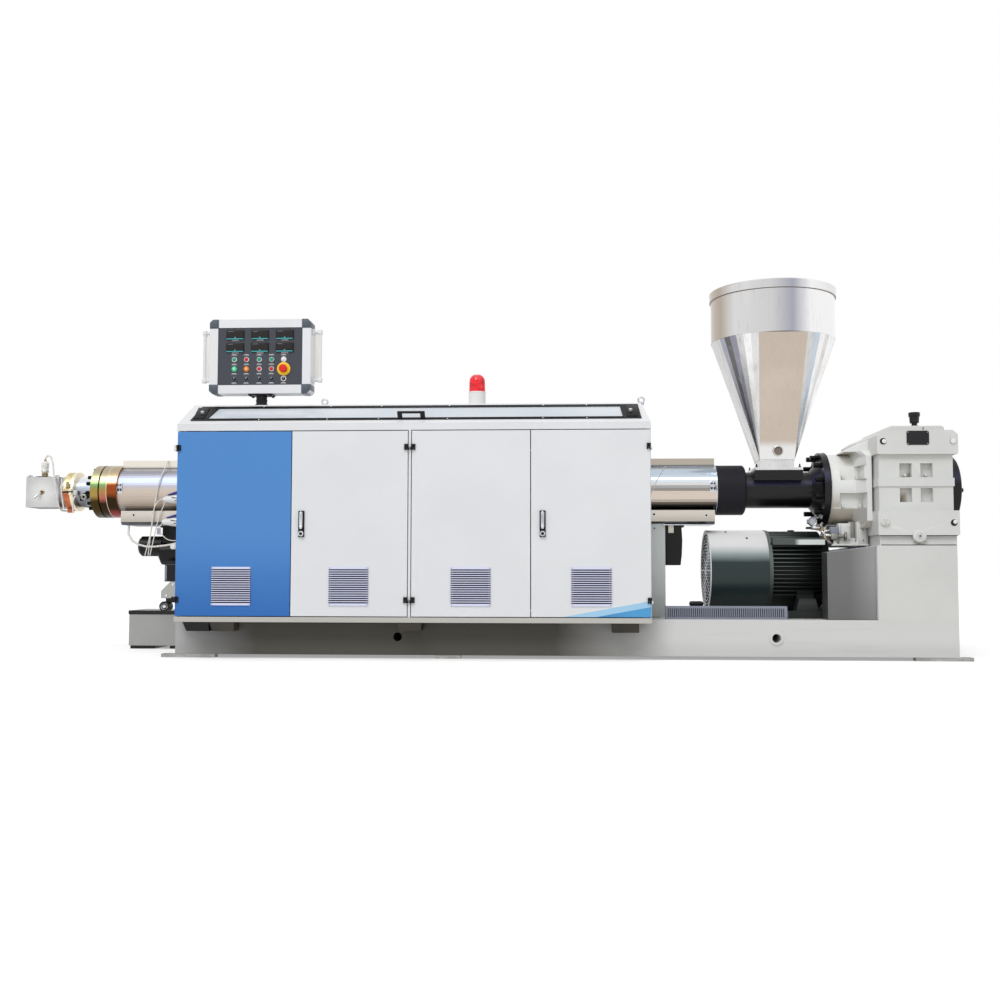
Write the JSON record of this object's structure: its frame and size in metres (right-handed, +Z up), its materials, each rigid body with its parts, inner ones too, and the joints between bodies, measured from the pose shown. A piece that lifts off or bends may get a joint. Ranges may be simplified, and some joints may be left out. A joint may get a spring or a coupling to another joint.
{
  "type": "plastic extruder",
  "caption": "Conical twin-screw plastic extruder on a long welded base with a guard cabinet, feed hopper, gearbox, low motor and a swivelling control panel.",
  "frame": {"origin": "on the floor, under the middle of the overall length and width", "axes": "+X from the die end to the gearbox end, -Y out of the front doors, +Z up; the barrel axis runs along X at 1.0 m"},
  "size_m": [5.772, 1.176, 2.22],
  "materials": {
    "base_paint": "semi-gloss machine grey",
    "pad_steel": "satin dark grey",
    "box_paint": "satin light grey",
    "black_paint": "semi-gloss black",
    "motor_paint": "gloss dark green-grey",
    "cowl_paint": "satin dark grey sheet",
    "gear_paint": "warm off-white enamel on castings",
    "dark_cast": "dark satin",
    "hopper_steel": "brushed stainless sheet",
    "cover_steel": "mirror-polished stainless sheet",
    "zinc_yellow": "yellow passivated zinc plating",
    "copper_tone": "copper-toned machined face",
    "tool_steel": "ground tool steel",
    "ceramic_white": "matt white ceramic on a brass foot",
    "braid": "woven fibreglass and wire braid",
    "white_plastic": "matt white",
    "cab_white": "semi-gloss light grey-white",
    "cab_blue": "semi-gloss mid blue",
    "vent_grey": "matt lavender grey",
    "black_plastic": "matt black",
    "clear_pane": "clear pane",
    "galvanised": "plain zinc-plated steel",
    "panel_alu": "satin anodised profile",
    "panel_dark": "satin dark grey",
    "red_lens": "clear red moulded lens"
  },
  "bodies": {
    "machine": {"base_frame": "base_paint", "pedestal": "base_paint", "foot_pads": "pad_steel", "outriggers": "black_paint", "oil_unit": "box_paint", "oil_unit_lid": "black_paint", "cable_duct": "box_paint", "motor_body": "motor_paint", "motor_cowl": "cowl_paint", "gearbox_housing": "gear_paint", "gearbox_bell": "gear_paint", "gearbox_covers": "gear_paint", "gearbox_end_cover": "dark_cast", "breather": "black_plastic", "gearbox_flange": "black_paint", "feed_barrel": "black_paint", "hopper_base": "tool_steel", "hopper": "hopper_steel", "hopper_lid": "hopper_steel", "barrel_cover": "cover_steel", "blowers": "black_paint", "die_flanges": "zinc_yellow", "retainer_ring": "copper_tone", "adapter": "tool_steel", "heater_clamp": "zinc_yellow", "die_block": "tool_steel", "sensor_plug": "ceramic_white", "heater_leads": "braid", "terminal_blocks": "white_plastic", "wall_bracket": "box_paint", "wall_column": "black_paint", "cabinet_frame": "cab_white", "cabinet_roof": "cab_white", "rear_panels": "cab_white", "window_frame": "black_plastic", "window_pane": "clear_pane", "window_handle": "black_plastic", "mounting_plate": "galvanised", "barrel_supports": "base_paint", "fixed_fittings": "black_plastic", "panel_foot": "black_paint", "beacon_base": "white_plastic", "beacon_lens": "red_lens", "lifting_eyes": "galvanised"},
    "door_1": {"door_1": "cab_blue", "vent_1": "vent_grey", "fittings_1": "black_plastic"},
    "door_2": {"door_2": "cab_white", "vent_2": "vent_grey", "fittings_2": "black_plastic"},
    "door_3": {"door_3": "cab_white", "vent_3": "vent_grey", "fittings_3": "black_plastic"},
    "door_4": {"door_4": "cab_white", "vent_4": "vent_grey", "fittings_4": "black_plastic"},
    "panel": {"panel_post": "black_paint", "panel_frame": "panel_alu", "panel_face": "panel_dark", "panel_controls": "black_plastic"}
  },
  "joints": [
    {"name": "door_1_hinge", "type": "hinge", "parent": "machine", "child": "door_1", "pos_m": [-1.764, -0.579, 0.7775], "axis": [0, 0, -1], "range_deg": [0, 110]},
    {"name": "door_2_hinge", "type": "hinge", "parent": "machine", "child": "door_2", "pos_m": [-0.428, -0.579, 0.7775], "axis": [0, 0, 1], "range_deg": [0, 85]},
    {"name": "door_3_hinge", "type": "hinge", "parent": "machine", "child": "door_3", "pos_m": [-0.398, -0.579, 0.7775], "axis": [0, 0, -1], "range_deg": [0, 85]},
    {"name": "door_4_hinge", "type": "hinge", "parent": "machine", "child": "door_4", "pos_m": [0.954, -0.579, 0.7775], "axis": [0, 0, 1], "range_deg": [0, 110]},
    {"name": "panel_swivel", "type": "hinge", "parent": "machine", "child": "panel", "pos_m": [-1.333, -0.36, 1.53], "axis": [0, 0, 1], "range_deg": [-90, 90]}
  ]
}
